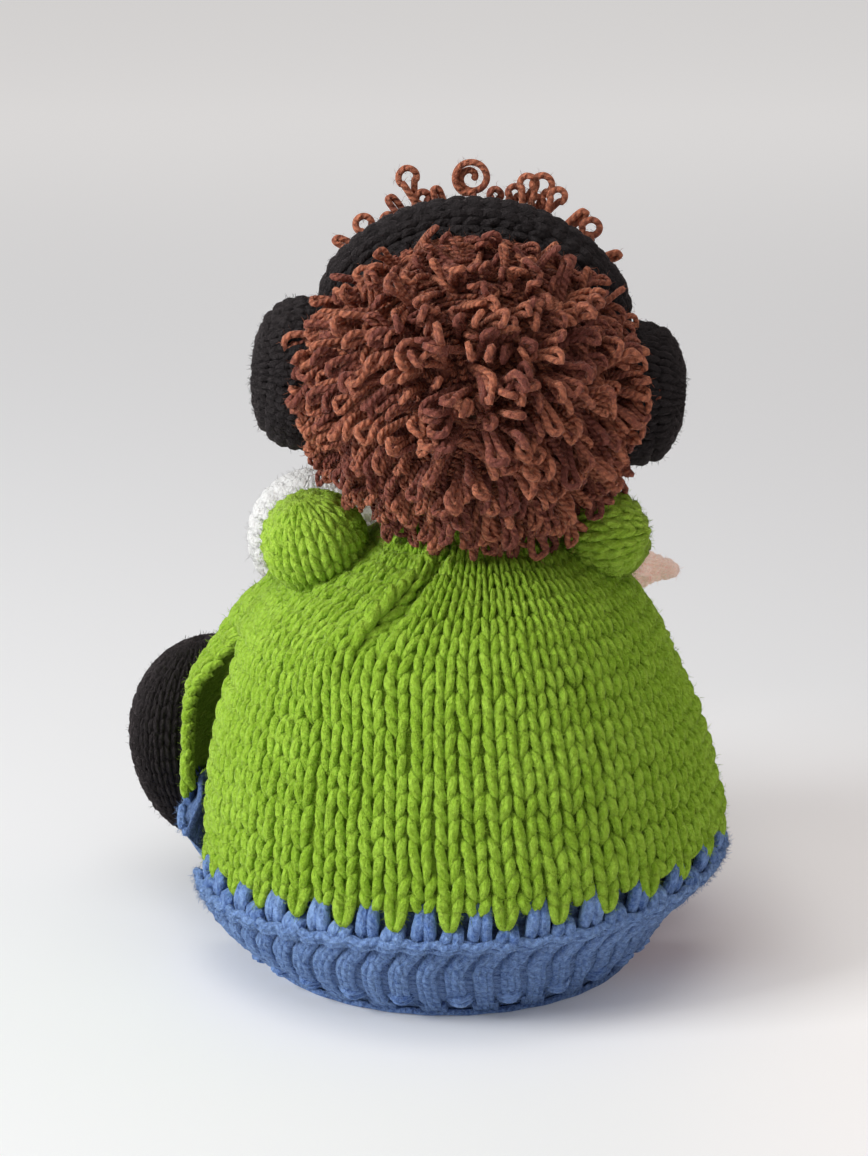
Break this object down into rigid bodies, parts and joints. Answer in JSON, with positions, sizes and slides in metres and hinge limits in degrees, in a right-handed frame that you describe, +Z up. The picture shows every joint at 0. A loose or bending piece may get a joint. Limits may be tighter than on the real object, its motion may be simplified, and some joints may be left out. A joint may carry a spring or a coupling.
{
  "type": "knitted tea cosy",
  "caption": "Knitted figure tea cosy with a ribbed hem, handle and spout slits, stuffed sleeves and head, loop-curl hair, and a padded headband with ear pads.",
  "frame": {"origin": "middle of the footprint, on the surface that the hem rests on", "axes": "+Z up; -Y towards the figure's back; +Y towards its face; -X towards the handle slit; +X towards the spout slit"},
  "size_m": [0.1854, 0.1666, 0.2423],
  "materials": {
    "green_yarn": "matte wool",
    "blue_yarn": "matte wool",
    "brown_yarn": "matte wool",
    "black_yarn": "matte wool",
    "white_yarn": "matte wool",
    "pink_yarn": "matte wool"
  },
  "bodies": {
    "root": {"hem": "blue_yarn", "back_panel": "green_yarn", "front_panel": "green_yarn", "sleeve_left": "green_yarn", "sleeve_right": "green_yarn", "hand_left": "pink_yarn", "hand_right": "pink_yarn", "white_ball": "white_yarn", "black_pad": "black_yarn", "head": "pink_yarn", "nose": "pink_yarn", "eye_left": "black_yarn", "eye_right": "black_yarn", "hair_cap": "brown_yarn", "front_curls": "brown_yarn", "headband": "black_yarn", "ear_pad_left": "black_yarn", "ear_pad_right": "black_yarn"}
  },
  "joints": []
}
